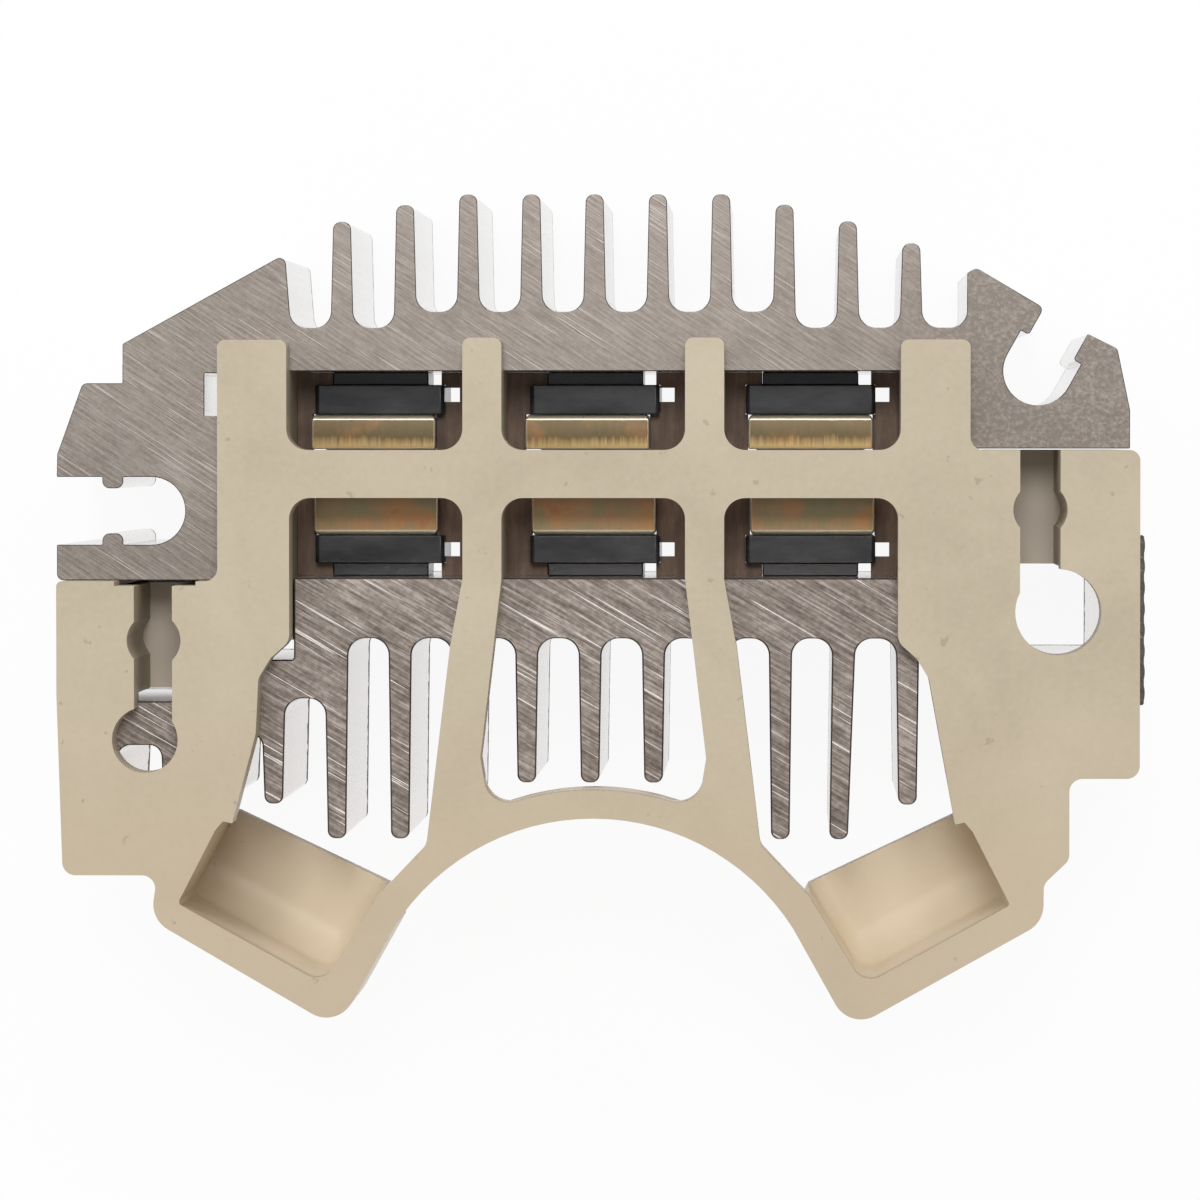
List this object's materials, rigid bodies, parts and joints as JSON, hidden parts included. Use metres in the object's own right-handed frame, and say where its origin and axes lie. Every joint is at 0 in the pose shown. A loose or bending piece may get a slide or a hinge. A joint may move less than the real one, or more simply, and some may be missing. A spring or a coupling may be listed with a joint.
{
  "type": "alternator rectifier",
  "caption": "Alternator rectifier: finned aluminium heat sinks held apart by a moulded frame, with pressed diodes between them and an arch round the shaft.",
  "frame": {"origin": "middle of the back faces' plane, under the middle of the whole part's box", "axes": "+Z along the extruded fins towards the moulded frame's face, +Y from the arch towards the upper fins, +X towards the ridged arm"},
  "size_m": [0.0829, 0.0626, 0.0285],
  "materials": {
    "frame_plastic": "moulded, light tan, slightly glossy",
    "upper_aluminium": "extruded, ends sawn",
    "lower_aluminium": "extruded, ends sawn",
    "board_laminate": "brown pressed laminate",
    "diode_base_copper": "bare copper",
    "silicon": "polished",
    "epoxy_case": "moulded black epoxy",
    "upper_terminal": "plated, rolled bands",
    "lower_terminal": "plated, heat tinted",
    "strap_copper": "bent strip"
  },
  "bodies": {
    "root": {"terminal_frame": "frame_plastic", "positive_heat_sink": "upper_aluminium", "negative_heat_sink": "lower_aluminium", "terminal_board": "board_laminate", "positive_diode_left_base": "diode_base_copper", "positive_diode_left_die": "silicon", "positive_diode_left_case": "epoxy_case", "positive_diode_left_terminal": "upper_terminal", "negative_diode_left_base": "diode_base_copper", "negative_diode_left_die": "silicon", "negative_diode_left_case": "epoxy_case", "negative_diode_left_terminal": "lower_terminal", "phase_strap_left": "strap_copper", "positive_diode_centre_base": "diode_base_copper", "positive_diode_centre_die": "silicon", "positive_diode_centre_case": "epoxy_case", "positive_diode_centre_terminal": "upper_terminal", "negative_diode_centre_base": "diode_base_copper", "negative_diode_centre_die": "silicon", "negative_diode_centre_case": "epoxy_case", "negative_diode_centre_terminal": "lower_terminal", "phase_strap_centre": "strap_copper", "positive_diode_right_base": "diode_base_copper", "positive_diode_right_die": "silicon", "positive_diode_right_case": "epoxy_case", "positive_diode_right_terminal": "upper_terminal", "negative_diode_right_base": "diode_base_copper", "negative_diode_right_die": "silicon", "negative_diode_right_case": "epoxy_case", "negative_diode_right_terminal": "lower_terminal", "phase_strap_right": "strap_copper"}
  },
  "joints": []
}
